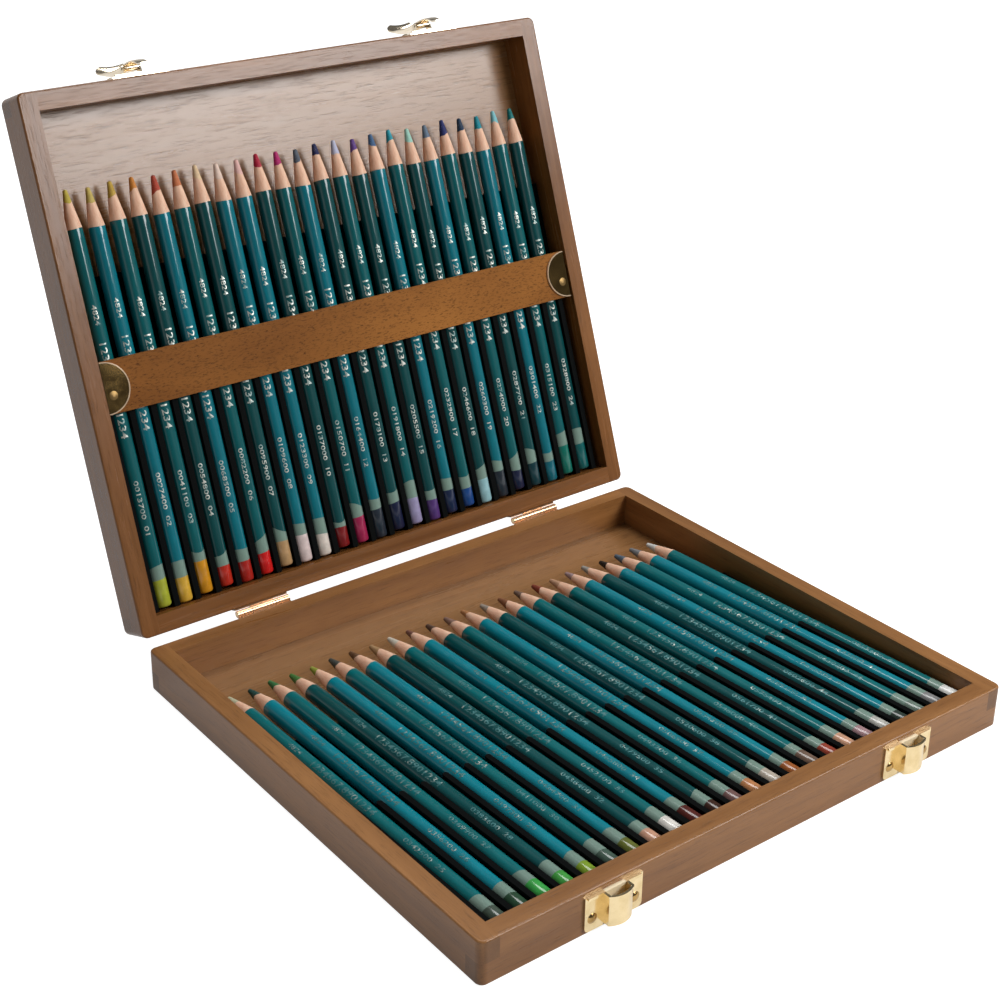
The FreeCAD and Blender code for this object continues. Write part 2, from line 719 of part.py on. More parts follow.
def build_latches():
    for side in sides:
        catch_plate(side)
        latch_plate(side)
        latch_pin(side)
        latch_lever(side)
    screw = plate_screw()
    for tray, label in (("base", "catch_screws"), ("lid", "latch_screws")):
        spots = [on_face(tray, side) * shift(step * worth("screw_spread / 2"),
                                             worth("plate_lift + screw_lift"), worth("plate_thickness"))
                 for side in sides for step in (-1, 1)]
        copies(label, screw, spots, FreeCAD.Placement())


# ---------------------------------------------------------------- pencils

def pencil_lines(tray):
    """End and tip of every pencil of a tray's row, on the pencils' axes."""
    end_margin, end_pitch = worth(tray + "_end_margin"), worth(tray + "_end_pitch")
    tip_margin, tip_pitch = worth(tray + "_tip_margin"), worth(tray + "_tip_pitch")
    room = inner - max(end_margin, tip_margin) - worth("pencil_diameter / 2")
    count = int(room / max(end_pitch, tip_pitch)) + 1
    height = worth(pencil_height)
    lines = []
    for i in range(count):
        slack = worth("pencil_slack") * (1 + math.sin(1.9 * i + len(tray))) / 2
        end = FreeCAD.Vector(left_wall + end_margin + end_pitch * i, end_wall + worth("end_gap") + slack, height)
        aim = FreeCAD.Vector(left_wall + tip_margin + tip_pitch * i, end.y + worth("pencil_length"), height)
        lines.append((end, aim))
    return lines


def pencil_casing():
    """Wooden casing, dipped end at the origin, sharpened towards +Z."""
    body = new_body("pencil_casing_pattern")
    mouth = "tip_radius + (pencil_diameter / 2 - tip_radius) * core_length / cone_length"
    profile = [("0", "0"), ("pencil_diameter / 2 - dip_chamfer", "0"),
               ("pencil_diameter / 2", "dip_chamfer"),
               ("pencil_diameter / 2", "pencil_length - cone_length"),
               (mouth, "pencil_length - core_length"), ("0", "pencil_length - core_length")]
    spin(body, outline(body, "XZ", profile))
    return body.Shape


def pencil_core():
    """The point of the coloured core that stands out of the casing."""
    body = new_body("pencil_core_pattern")
    mouth = "tip_radius + (pencil_diameter / 2 - tip_radius) * core_length / cone_length"
    profile = [("0", "pencil_length - core_length"), (mouth, "pencil_length - core_length"),
               ("tip_radius", "pencil_length"), ("0", "pencil_length")]
    spin(body, outline(body, "XZ", profile))
    return body.Shape


def build_pencils():
    casing, core = pencil_casing(), pencil_core()
    for tray, (place, hinge_side) in trays.items():
        spots = []
        for end, aim in pencil_lines(tray):
            lean = FreeCAD.Rotation(FreeCAD.Vector(0, 0, 1), aim - end)
            spots.append(FreeCAD.Placement(end, lean))
        copies(tray + "_pencil_casings", casing, spots, place)
        copies(tray + "_pencil_cores", core, spots, place)


# ---------------------------------------------------------------- combs

def ridge(start, stop, width, height):
    """Upright rib between two pencils, square at the wall and round at its free end."""
    along = (stop - start).normalize()
    across = FreeCAD.Vector(-along.y, along.x, 0) * (width / 2)
    outer = [start - across, stop - across, stop + across, start + across]
    edges = [Part.makeLine(outer[0], outer[1]),
             Part.Arc(outer[1], stop + along * (width / 2), outer[2]).toShape(),
             Part.makeLine(outer[2], outer[3]),
             Part.makeLine(outer[3], outer[0])]
    return Part.Face(Part.Wire(edges)).extrude(FreeCAD.Vector(0, 0, height))


def comb(tray, place):
    """Black moulded insert: a cradle plate with a ridge between each two pencils."""
    play = worth("comb_play")
    base = worth("comb_base")
    start_y = end_wall + play
    plate = Part.makeBox(inner - 2 * play, worth("comb_length"), base,
                         FreeCAD.Vector(left_wall + play, start_y, floor_top))
    width = min(worth(tray + "_end_pitch"), worth(tray + "_tip_pitch")) - worth("pencil_diameter + 2 * ridge_play")
    stop_y = end_wall + worth(tray + "_ridge_length")
    lines = pencil_lines(tray)
    ribs = []
    for i in range(-1, len(lines)):
        end, aim = lines[max(i, 0)]
        half = worth(tray + "_end_pitch") / 2 if i >= 0 else -worth(tray + "_end_pitch") / 2
        half_far = worth(tray + "_tip_pitch") / 2 if i >= 0 else -worth(tray + "_tip_pitch") / 2

        def axis_x(y):
            share = (y - end.y) / worth("pencil_length")
            return (end.x + half) * (1 - share) + (aim.x + half_far) * share

        start = FreeCAD.Vector(axis_x(start_y), start_y, floor_top + base / 2)
        stop = FreeCAD.Vector(axis_x(stop_y), stop_y, floor_top + base / 2)
        if max(abs(start.x), abs(stop.x)) + width / 2 + play < inner / 2:
            ribs.append(ridge(start, stop, width, base / 2 + worth("ridge_height")))
    insert = doc.addObject("Part::Feature", tray + "_comb_insert")
    insert.Label = tray + "_comb_insert"
    insert.Shape = plate.fuse(ribs).removeSplitter()
    return keep(insert, place)


# ---------------------------------------------------------------- bar and clips

def retaining_bar():
    body = new_body("retaining_bar")
    reach = "case_width / 2 - wall - bar_play"
    pad(body, rectangle(body, "XY", "-(%s)" % reach, bar_rear, reach, bar_rear + " + bar_width", bar_floor),
        "bar_thickness")
    holes = [("%s(case_width / 2 - wall - clip_pin_inset)" % sign, clip_y, "rivet_radius + screw_play")
             for sign in ("-", "")]
    cut(body, circles(body, "XY", holes, bar_floor + " + bar_thickness"), "rivet_depth + screw_play")
    return keep(body, in_lid)


def turn_clip(side):
    """Disc with a straight edge, drawn about its rivet with the wall on the side it names."""
    body = new_body("turn_clip_" + side)
    sign = sides[side]
    middle_x = "%s(clip_pin_inset - clip_centre)" % sign
    pad(body, circles(body, "XY", [(middle_x, "clip_pin_shift", "clip_radius")]), "clip_thickness")
    edge = "%s(clip_pin_inset - clip_wall_gap)" % sign
    far = "%s(clip_pin_inset + clip_radius)" % sign
    low, high = (far, edge) if side == "left" else (edge, far)
    cut(body, rectangle(body, "XY", low, "-2 * clip_radius", high, "2 * clip_radius"), "clip_thickness",
        backward=True)
    cut(body, circles(body, "XY", [("0", "0", "rivet_radius + pin_play")]), "clip_thickness", backward=True)
    spot = shift(side_sign(side) * worth("case_width / 2 - wall - clip_pin_inset"),
                 worth(clip_y), worth(clip_floor))
    return keep(body, in_lid * spot)


def clip_rivet(side):
    """Rivet that the clip turns on, its shank set in the bar and its head over the clip."""
    body = new_body("clip_rivet_" + side)
    seat = "clip_thickness + clip_lift"
    dome = "(rivet_head^2 + rivet_head_rise^2) / (2 * rivet_head_rise)"
    profile = [("0", "-clip_lift - rivet_depth"), ("rivet_radius", "-clip_lift - rivet_depth"),
               ("rivet_radius", seat), ("rivet_head", seat), ("0", seat + " + rivet_head_rise")]
    spin(body, outline(body, "XZ", profile, {3: dome}))
    spot = shift(side_sign(side) * worth("case_width / 2 - wall - clip_pin_inset"),
                 worth(clip_y), worth(clip_floor))
    return keep(body, in_lid * spot)


def build_inserts():
    comb("base", in_base)
    comb("lid", in_lid)
    retaining_bar()
    for side in sides:
        turn_clip(side)
        clip_rivet(side)


# ---------------------------------------------------------------- build and write

build_boards()
build_hinges()
build_latches()
build_pencils()
build_inserts()
doc.recompute()

for thing in doc.Objects:
    if "Invalid" in thing.State or "Error" in thing.State:
        raise RuntimeError("%s did not recompute" % thing.Name)
for label, thing in parts.items():
    if thing.Shape.isNull() or not thing.Shape.isValid():
        raise RuntimeError("%s has no valid shape" % label)
for label, thing in parts.items():
    thing.Shape.exportStep("parts/%s.step" % label)
print("wrote %d sub-parts" % len(parts))
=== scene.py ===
import json
import math
import random

import bmesh
import bpy
from mathutils import Euler, Matrix, Vector


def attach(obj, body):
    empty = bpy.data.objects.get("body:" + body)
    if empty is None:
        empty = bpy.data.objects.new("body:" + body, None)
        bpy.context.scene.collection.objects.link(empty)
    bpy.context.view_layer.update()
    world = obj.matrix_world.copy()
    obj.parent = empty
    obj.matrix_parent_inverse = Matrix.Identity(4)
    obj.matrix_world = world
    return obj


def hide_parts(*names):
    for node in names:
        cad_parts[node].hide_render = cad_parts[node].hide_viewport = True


# Hinged wooden pencil case, open, with a row of coloured pencils in each tray.
# Metres, +Z up, front of the case towards -Y, origin under the middle of the base.

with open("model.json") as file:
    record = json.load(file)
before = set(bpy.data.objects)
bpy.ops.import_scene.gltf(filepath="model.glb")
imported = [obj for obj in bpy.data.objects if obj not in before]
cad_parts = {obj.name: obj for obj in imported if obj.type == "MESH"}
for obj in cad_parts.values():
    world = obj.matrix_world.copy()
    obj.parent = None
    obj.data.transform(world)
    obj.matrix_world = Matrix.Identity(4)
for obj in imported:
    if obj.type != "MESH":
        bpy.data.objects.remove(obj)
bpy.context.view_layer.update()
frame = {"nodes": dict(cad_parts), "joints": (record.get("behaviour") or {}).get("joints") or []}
nodes = frame["nodes"]
mm = 0.001

# The lid's own frame: it lies like the base, rim up, before the hinge swings it back.
openAngle = math.radians(110)
pivots = {joint["name"]: Vector(joint["pos_m"]) for joint in frame["joints"]}
hingePoint = pivots["lid_hinge"]
lidPlace = (Matrix.Translation(hingePoint) @ Matrix.Rotation(math.pi - openAngle, 4, "X")
            @ Matrix.Translation((0, hingePoint.y, -hingePoint.z)))
trayPlace = {"base": Matrix.Identity(4), "lid": lidPlace}


# small helpers for the node trees

def newMaterial(name):
    mat = bpy.data.materials.new(name)
    mat.use_nodes = True
    return mat, mat.node_tree, mat.node_tree.nodes["Principled BSDF"]


def addNode(tree, kind, **values):
    node = tree.nodes.new(kind)
    for key, value in values.items():
        if key in node.inputs:
            node.inputs[key].default_value = value
        else:
            setattr(node, key, value)
    return node


def link(tree, out, into):
    tree.links.new(out, into)


def feed(tree, socket, value):
    # join another node's output to the socket, or set it to a plain value
    if isinstance(value, bpy.types.NodeSocket):
        link(tree, value, socket)
    else:
        socket.default_value = value


def mixColour(tree, amount, first, second):
    mix = addNode(tree, "ShaderNodeMix", data_type="RGBA")
    feed(tree, mix.inputs[0], amount)
    for socket, value in ((mix.inputs[6], first), (mix.inputs[7], second)):
        feed(tree, socket, (*value, 1) if isinstance(value, tuple) else value)
    return mix.outputs[2]


def ramp(tree, source, low, high):
    # low and high are pairs: a value of the source, and what it becomes
    node = addNode(tree, "ShaderNodeMapRange")
    link(tree, source, node.inputs["Value"])
    node.inputs["From Min"].default_value, node.inputs["From Max"].default_value = low[0], high[0]
    node.inputs["To Min"].default_value, node.inputs["To Max"].default_value = low[1], high[1]
    return node.outputs["Result"]


def fade(tree, source, span, depth=1.0):
    # nothing below the span, full depth above it
    return ramp(tree, source, (span[0], 0.0), (span[1], depth))


def maths(tree, operation, *values):
    node = addNode(tree, "ShaderNodeMath", operation=operation)
    for socket, value in zip(node.inputs, values):
        feed(tree, socket, value)
    return node.outputs[0]


def times(tree, first, second):
    return maths(tree, "MULTIPLY", first, second)


def vectorMaths(tree, operation, answer, *values):
    node = addNode(tree, "ShaderNodeVectorMath", operation=operation)
    for socket, value in zip(node.inputs, values):
        feed(tree, socket, value)
    return node.outputs[answer]


def objectCoords(tree):
    return addNode(tree, "ShaderNodeTexCoord").outputs["Object"]


def mapped(tree, vector, kind="POINT", **settings):
    node = addNode(tree, "ShaderNodeMapping", vector_type=kind, **settings)
    link(tree, vector, node.inputs["Vector"])
    return node.outputs["Vector"]


def noise(tree, vector, scale, detail=3.0, rough=0.5, wobble=0.0):
    node = addNode(tree, "ShaderNodeTexNoise", Scale=scale, Detail=detail, Roughness=rough,
                   Distortion=wobble)
    link(tree, vector, node.inputs["Vector"])
    return node.outputs["Fac"]


def bumpFrom(tree, shader, height, strength, distance):
    bump = addNode(tree, "ShaderNodeBump", Strength=strength, Distance=distance)
    link(tree, height, bump.inputs["Height"])
    link(tree, bump.outputs["Normal"], shader.inputs["Normal"])


def unevenRoughness(tree, shader, source, reach, roughness, below, above):
    link(tree, ramp(tree, source, (reach[0], roughness - below), (reach[1], roughness + above)),
         shader.inputs["Roughness"])


def colour(hexCode):
    parts = [int(hexCode[i:i + 2], 16) / 255 for i in (0, 2, 4)]
    return tuple(c / 12.92 if c <= 0.04045 else ((c + 0.055) / 1.055) ** 2.4 for c in parts)


def paint(names, mat):
    for name in names:
        nodes[name].data.materials.clear()
        nodes[name].data.materials.append(mat)


# case wood: walnut stain under satin lacquer, fine grain along each board

walnut = dict(light=colour("a47242"), dark=colour("82562e"), pore=colour("442a12"),
              endGrain=colour("5c3c1e"), roughness=0.3, specular=0.42, streakLength=16.0,
              poreScale=95.0, poreDepth=0.4)
# the lid's boards: a darker copy of the case walnut, painted shade
lidWalnutPaintedShade = dict(walnut, light=colour("8c5a2c"), dark=colour("6a401a"), roughness=0.25)
plyPanel = dict(light=colour("966a40"), dark=colour("886038"), pore=colour("4a2c14"),
                endGrain=colour("5c3a20"), roughness=0.26, specular=0.6, streakLength=12.0,
                poreScale=95.0, poreDepth=0.5)
barWood = dict(light=colour("a46a30"), dark=colour("78481c"), pore=colour("3c200a"),
               endGrain=colour("5c3a20"), roughness=0.42, specular=0.06, streakLength=3.0,
               poreScale=520.0, poreDepth=0.9)
# what all the boards share; offset keeps two boards from showing the same grain
grain = dict(streakScale=8.0, streaks=(0.3, 0.7), patchScale=26.0, patches=(0.4, 0.7), patchDepth=0.3,
             pores=(0.52, 0.72), offset=(0.37, 0.11, 0.23), endFacing=(0.7, 0.95), endDepth=0.6,
             bump=0.15, bumpDeep=0.0002)


def woodMaterial(name, look, tray, alongX, seed):
    mat, tree, shader = newMaterial(name)
    own = mapped(tree, objectCoords(tree), "TEXTURE", Rotation=(trayPlace[tray].to_euler().x, 0, 0))
    wide = look["streakLength"]
    fibre = mapped(tree, own, Scale=(1, wide, wide) if alongX else (wide, 1, wide),
                   Location=tuple(seed * step for step in grain["offset"]))
    streak = noise(tree, fibre, grain["streakScale"], 6.0, 0.6, 0.4)
    patch = noise(tree, own, grain["patchScale"], 3.0)
    speckle = noise(tree, fibre, look["poreScale"], 3.0, 0.7)
    pores = fade(tree, speckle, grain["pores"])
    body = mixColour(tree, fade(tree, streak, grain["streaks"]), look["dark"], look["light"])
    toned = mixColour(tree, fade(tree, patch, grain["patches"], grain["patchDepth"]), body, look["dark"])
    pored = mixColour(tree, times(tree, pores, look["poreDepth"]), toned, look["pore"])
    # the board's ends drink more stain
    along = trayPlace[tray].to_3x3() @ Vector((1, 0, 0) if alongX else (0, 1, 0))
    facing = addNode(tree, "ShaderNodeNewGeometry").outputs["True Normal"]
    across = vectorMaths(tree, "DOT_PRODUCT", "Value", facing, along)
    ends = fade(tree, times(tree, across, across), grain["endFacing"], grain["endDepth"])
    link(tree, mixColour(tree, ends, pored, look["endGrain"]), shader.inputs["Base Color"])
    unevenRoughness(tree, shader, streak, (0.2, 0.8), look["roughness"], 0.04, 0.06)
    shader.inputs["Specular IOR Level"].default_value = look["specular"]
    sunk = ramp(tree, pores, (0.0, 1.0), (1.0, 0.0))
    bumpFrom(tree, shader, sunk, grain["bump"], grain["bumpDeep"])
    return mat


for tray in ("base", "lid"):
    look = walnut if tray == "base" else lidWalnutPaintedShade
    for i, board in enumerate(("front_board", "rear_board")):
        paint([tray + "_" + board], woodMaterial(tray + "LongGrain%d" % i, look, tray, True, i + 1))
    for i, board in enumerate(("left_board", "right_board")):
        paint([tray + "_" + board], woodMaterial(tray + "SideGrain%d" % i, look, tray, False, i + 4))
paint(["base_floor_panel"], woodMaterial("basePanelPly", plyPanel, "base", True, 7))
paint(["lid_top_panel"], woodMaterial("lidPanelPly", plyPanel, "lid", True, 8))
paint(["retaining_bar"], woodMaterial("barWood", barWood, "lid", True, 9))
print("wood done")


# brass of the hinges, latches and turn clips

brass = dict(colour=colour("f4deb0"), tarnish=colour("dec288"), roughness=0.16, cloudScale=180.0,
             clouds=(0.4, 0.75), cloudDepth=0.7, bump=0.08, bumpDeep=0.0002)
# the turn clips and their rivets: a much darker copy of the brass, painted shade for the dim surroundings
# their flat faces mirror
clipBrassPaintedShade = dict(brass, colour=colour("94784a"), tarnish=colour("64502c"), roughness=0.09)
screwBrass = dict(brass, colour=colour("c8a468"), tarnish=colour("7c6038"))
rivetBrassPaintedShade = dict(clipBrassPaintedShade, colour=colour("7c6440"), roughness=0.4)
# a lighter copy of the brass for the latch levers, plates and pins: painted light
paleBrassPaintedLight = dict(brass, colour=colour("f4e6d0"), tarnish=colour("e0cca8"))
# painted highlight: a pale band round a turn clip's edge, for the light its bevel catches
clipRimPaintedHighlight = dict(colour=colour("e8ccac"), depth=1.0, metallic=0.4, width=0.0005, blend=0.00015)
# the hinge leaves are painted darker brown away from the bright barrel: painted shade
leafBrass = dict(brass, colour=colour("dcb490"), tarnish=colour("a87c56"), roughness=0.28,
                 paintedShade=dict(colour=colour("6c4826"), depth=0.9, metallic=0.35, span=(0.0017, 0.0021)))
# inside of the catch's pocket, painted pale and hardly metallic as painted light: where it is, half its
# width, how far it stands out of the board
catchBrass = dict(brass, pocket=dict(colour=colour("fcecc8"), depth=1.0, metallic=0.1, side=0.074,
                                     board=-0.1125, half=0.0046, reach=0.0044))


def clipDisc(node):
    # middle and radius of a turn clip's half round
    points = [lidPlace.inverted() @ (node.matrix_world @ v.co) for v in node.data.vertices]
    low, high = [[pick(p[axis] for p in points) for axis in range(3)] for pick in (min, max)]
    radius = (high[1] - low[1]) / 2
    crown = low[0] + radius if abs(low[0]) < abs(high[0]) else high[0] - radius
    return lidPlace @ Vector((crown, (low[1] + high[1]) / 2, (low[2] + high[2]) / 2)), radius


def recolour(tree, shader, metal, amount, look):
    # another colour over the brass where amount is high, and less metallic there
    link(tree, ramp(tree, amount, (0.0, 1.0), (look["depth"], look["metallic"])), shader.inputs["Metallic"])
    return mixColour(tree, amount, metal, look["colour"])


# painted shade on a hinge leaf, growing with distance from the hinge's axis
def leafPaintedShade(tree, coords, paintedShade):
    away = vectorMaths(tree, "SUBTRACT", "Vector", coords, (0, hingePoint.y, hingePoint.z))
    level = vectorMaths(tree, "MULTIPLY", "Vector", away, (0, 1, 1))
    return fade(tree, vectorMaths(tree, "LENGTH", "Value", level), paintedShade["span"], paintedShade["depth"])


# painted highlight: a pale band just inside a turn clip's round edge
def paintedRimHighlight(tree, coords, centre, radius):
    away = vectorMaths(tree, "DISTANCE", "Value", coords, centre)
    edge = radius - clipRimPaintedHighlight["width"]
    return fade(tree, away, (edge - clipRimPaintedHighlight["blend"], edge + clipRimPaintedHighlight["blend"]), clipRimPaintedHighlight["depth"])


# painted light: marks the inside of the catch's pocket
def pocketInside(tree, coords, pocket):
    place = addNode(tree, "ShaderNodeSeparateXYZ")
    link(tree, coords, place.inputs[0])
    half = pocket["reach"] / 2
    sideways = maths(tree, "COMPARE", maths(tree, "ABSOLUTE", place.outputs["X"]), pocket["side"],
                     pocket["half"])
    return times(tree, sideways, maths(tree, "COMPARE", place.outputs["Y"], pocket["board"] - half, half))


def brassMaterial(name, look, disc=None):
    mat, tree, shader = newMaterial(name)
    coords = objectCoords(tree)
    cloud = noise(tree, coords, look["cloudScale"])
    dulled = fade(tree, cloud, look["clouds"], look["cloudDepth"])
    metal = mixColour(tree, dulled, look["colour"], look["tarnish"])
    shader.inputs["Metallic"].default_value = 1.0
    # painted shade on the hinge leaves away from the barrel
    if "paintedShade" in look:
        metal = recolour(tree, shader, metal, leafPaintedShade(tree, coords, look["paintedShade"]), look["paintedShade"])
    # painted highlight round a turn clip's edge
    if disc:
        metal = recolour(tree, shader, metal, paintedRimHighlight(tree, coords, *disc), clipRimPaintedHighlight)
    # painted light inside the catch's pocket
    if "pocket" in look:
        metal = recolour(tree, shader, metal, pocketInside(tree, coords, look["pocket"]), look["pocket"])
    link(tree, metal, shader.inputs["Base Color"])
    unevenRoughness(tree, shader, cloud, (0.3, 0.7), look["roughness"], 0.04, 0.08)
    bumpFrom(tree, shader, cloud, look["bump"], look["bumpDeep"])
    return mat


brassNodes = [n for n in nodes if any(w in n for w in ("hinge", "latch", "catch", "clip"))]
paint(brassNodes, brassMaterial("plainBrass", brass))
paint([n for n in brassNodes if "_screws" in n], brassMaterial("screwBrass", screwBrass))
# rivets and turn clips get the darker brass, painted shade
paint([n for n in brassNodes if "rivet" in n], brassMaterial("rivetBrassPaintedShade", rivetBrassPaintedShade))
for side in ("left", "right"):
    clip = "turn_clip_" + side
    paint([clip], brassMaterial(clip, clipBrassPaintedShade, clipDisc(nodes[clip])))
paint([n for n in brassNodes if "catch_plate" in n], brassMaterial("catchBrass", catchBrass))
paint([n for n in brassNodes if "hinge_leaf" in n], brassMaterial("leafBrass", leafBrass))
print("brass done")


# black moulded combs

combLook = dict(colour=colour("060808"), paler=1.6, roughness=0.7, specular=0.06, speckScale=2500.0)


def combMaterial(name, look):
    mat, tree, shader = newMaterial(name)
    speck = noise(tree, objectCoords(tree), look["speckScale"], 2.0)
    paler = tuple(c * look["paler"] for c in look["colour"])
    link(tree, mixColour(tree, speck, look["colour"], paler), shader.inputs["Base Color"])
    unevenRoughness(tree, shader, speck, (0.3, 0.7), look["roughness"], 0.05, 0.1)
    shader.inputs["Specular IOR Level"].default_value = look["specular"]
    return mat


paint(["base_comb_insert", "lid_comb_insert"], combMaterial("combPlastic", combLook))
print("combs done")


# coloured pencils: lacquered barrel, grey-green band, dipped end, cut cone and core
# lengths in millimetres; a wave is how far a paint line tilts and how far it ripples

pencil = dict(diameter=7.14, length=176.0, cone=16.5, core=6.4, tip=0.85, height=9.9, sides=32, count=24,
              firstEnd=-104.0, looseness=1.2, slackStep=1.9, leftWall=-122.0, coreStray=(-1.3, 1.0),
              coneStart=0.3, shoulder=4, point=(0.35, 0.3),
              coneWave=(0.15, 0.06), coreWave=(0.9, 0.25), dipWave=(0.5, 0.05), bandRipple=0.08,
              endRound=((0.0, 1.3), (0.12, 0.75), (0.45, 0.28), (1.0, 0.0)))
# b, m and d are a bright, a middling and a deep teal
rows = {
    "base": dict(endMargin=9.6, endPitch=10.01, tipMargin=6.0, tipPitch=9.7, dip=(9.0, 11.6),
                 band=(6.2, 7.0), slant=1.2, shades="mbmdbmbdmbdmbdbmdmbdbmbm"),
    "lid": dict(endMargin=7.5, endPitch=9.89, tipMargin=6.2, tipPitch=9.89, dip=(8.5, 14.5),
                band=(4.6, 6.8), slant=2.4, shades="mbmdbmdbbdmbdmdbmdbmdbmd"),
}
shades = {
    "base": {"b": colour("008a9a"), "m": colour("007276"), "d": colour("005456")},
    # the lid's three teals are the base's made darker: painted shade on the lid's row
    "lid": {"b": colour("007482"), "m": colour("006064"), "d": colour("004a4c")},
}
# core and dipped end of each pencil, left to right
tints = {
    "base": [
        "c8c8a8 4c5c50", "1c4c48 2c5038", "3c7c48 40b050", "4c8040 48a848", "98a040 88a830", "484c48 4c6458",
        "6c4c34 6c7430", "b08c64 d8a488", "d8d0c0 f0ece4", "7c5448 5c241c", "5c4438 44281c", "8c6c60 7c5c58",
        "b47c50 c88858", "a89c90 c4b8a8", "8c5c40 a8602c", "7c6458 7c6454", "8c4434 a04430", "c89c7c dca888",
        "a88c8c b08c90", "a8a49c c4c4bc", "2c2420 34443c", "5c6c7c 74887c", "84868a 8c8c8c", "dcdcd8 f0f0ec",
    ],
    "lid": [
        "c4b04c b8c03c", "c8b060 e8b840", "c8a448 e09a20", "d08438 c83020", "b44a38 b82820", "cc7850 e02020",
        "e8c8a0 c8a070", "ecd0c0 f0dcd8", "e8b8b0 f0e4d8", "b02840 8a1c20", "b83070 b02858", "5c6470 2a3440",
        "2c3058 1c2444", "c0c0d8 a8a0c8", "6a4a90 5a3a80", "4a6a90 1c2c50", "2a98a8 1c4c90", "a8d8c8 a0d0d8",
        "6a7c90 28323c", "30386c 1c2444", "2c4058 104048", "1c90a0 107080", "88c8d0 0c7868", "187878 0c6868",
    ],
}


def pencilPlace(tray, i):
    # the pencil's own frame: Z from its end to its point, X out of the tray, Y to the right
    row, wall = rows[tray], pencil["leftWall"]
    slack = pencil["looseness"] * (1 + math.sin(pencil["slackStep"] * i + len(tray))) / 2
    end = Vector((wall + row["endMargin"] + row["endPitch"] * i, pencil["firstEnd"] + slack,
                  pencil["height"]))
    tip = Vector((wall + row["tipMargin"] + row["tipPitch"] * i, end.y + pencil["length"],
                  pencil["height"]))
    along = (tip - end).normalized()
    up = Vector((0, 0, 1))
    turn = Matrix((up, along.cross(up), along)).transposed().to_4x4()
    return trayPlace[tray] @ Matrix.Translation(end * mm) @ turn


def barrelRadius(z):
    full, tip = pencil["diameter"] / 2, pencil["tip"]
    into = (z - (pencil["length"] - pencil["cone"])) / pencil["cone"]
    return full if into <= 0 else full + (tip - full) * into


def wave(chance, slant, ripple):
    # a line round the barrel: how far it strays lengthwise at each angle
    tiltAt, a, b = [chance.uniform(0, 6.28) for turn in range(3)]
    tilt = chance.uniform(0.2, 1.0) * slant

    def stray(angle):
        curl = math.sin(2 * angle + a) + math.sin(5 * angle + b) / 2
        return tilt * math.cos(angle - tiltAt) + ripple * curl

    return stray


def flat(angle):
    return 0.0


def lathe(mesh, rings, sides, slots):
    # skin between rings of (height, radius, stray), one material slot for each step;
    # a ring without a radius takes the barrel's or the cone's
    faces, verts = mesh
    start = len(verts)
    for height, radius, stray in rings:
        for k in range(sides):
            angle = 2 * math.pi * k / sides
            z = height + stray(angle)
            r = radius if radius is not None else barrelRadius(z)
            verts.append((r * math.cos(angle) * mm, r * math.sin(angle) * mm, z * mm))
    for step in range(len(rings) - 1):
        for k in range(sides):
            a, b = start + step * sides + k, start + step * sides + (k + 1) % sides
            faces.append(((a, b, b + sides, a + sides), slots[step]))
    return start


def cap(mesh, first, sides, outward, slot):
    ring = list(range(first, first + sides))
    mesh[0].append((tuple(ring if outward else reversed(ring)), slot))


def meshObject(name, mesh, materials, matrix, tintOf=None, sharp=35):
    data = bpy.data.meshes.new(name)
    data.from_pydata(mesh[1], [], [f[0] for f in mesh[0]])
    for mat in materials:
        data.materials.append(mat)
    for poly, face in zip(data.polygons, mesh[0]):
        poly.material_index = face[1] if isinstance(face[1], int) else face[1][0]
        poly.use_smooth = True
    if tintOf:
        layer = data.color_attributes.new("tint", "FLOAT_COLOR", "CORNER")
        for poly, face in zip(data.polygons, mesh[0]):
            for corner in poly.loop_indices:
                layer.data[corner].color = (*tintOf(face[1]), 1)
    data.set_sharp_from_angle(angle=math.radians(sharp))
    obj = bpy.data.objects.new(name, data)
    obj.matrix_world = matrix
    bpy.context.scene.collection.objects.link(obj)
    return obj


# mottle is how dark the clouds are; coat is the gloss layer on top
finishes = {
    "pencilLacquer": dict(mottle=0.35, roughness=0.4, coat=0.8, coatRoughness=0.04, stretch=5.0,
                          scale=60.0, bump=0.05),
    "pencilBand": dict(mottle=0.2, roughness=0.35, coat=0.6, coatRoughness=0.15, stretch=3.0,
                       scale=120.0),
    "pencilDip": dict(mottle=0.35, roughness=0.3, coat=0.8, coatRoughness=0.12, stretch=1.0, scale=260.0),
    "pencilPigment": dict(mottle=0.25, roughness=0.5, coat=0.0, coatRoughness=0.3, stretch=1.0,
                          scale=500.0, bump=0.3, fleck=(0.85, 0.75, 0.6)),
}


def tintMaterial(name):
    # paint or wax in the piece's own tint, clouded a little darker in places
    mat, tree, shader = newMaterial(name)
    look = finishes[name]
    drawn = mapped(tree, objectCoords(tree), Scale=(look["stretch"], look["stretch"], 1))
    tint = addNode(tree, "ShaderNodeAttribute", attribute_name="tint").outputs["Color"]
    cloud = noise(tree, drawn, look["scale"], 4.0, 0.6)
    shade = mixColour(tree, fade(tree, cloud, (0.3, 0.75), look["mottle"]), tint, (0.0, 0.0, 0.0))
    if "fleck" in look:
        spots = fade(tree, noise(tree, drawn, look["scale"] * 6, 2.0), (0.62, 0.75), 0.5)
        shade = mixColour(tree, spots, shade, look["fleck"])
    link(tree, shade, shader.inputs["Base Color"])
    unevenRoughness(tree, shader, cloud, (0.3, 0.7), look["roughness"], 0.04, 0.06)
    shader.inputs["Specular IOR Level"].default_value = 0.12
    shader.inputs["Coat Weight"].default_value = look["coat"]
    shader.inputs["Coat Roughness"].default_value = look["coatRoughness"]
    if "bump" in look:
        bumpFrom(tree, shader, cloud, look["bump"], 0.0003)
    return mat


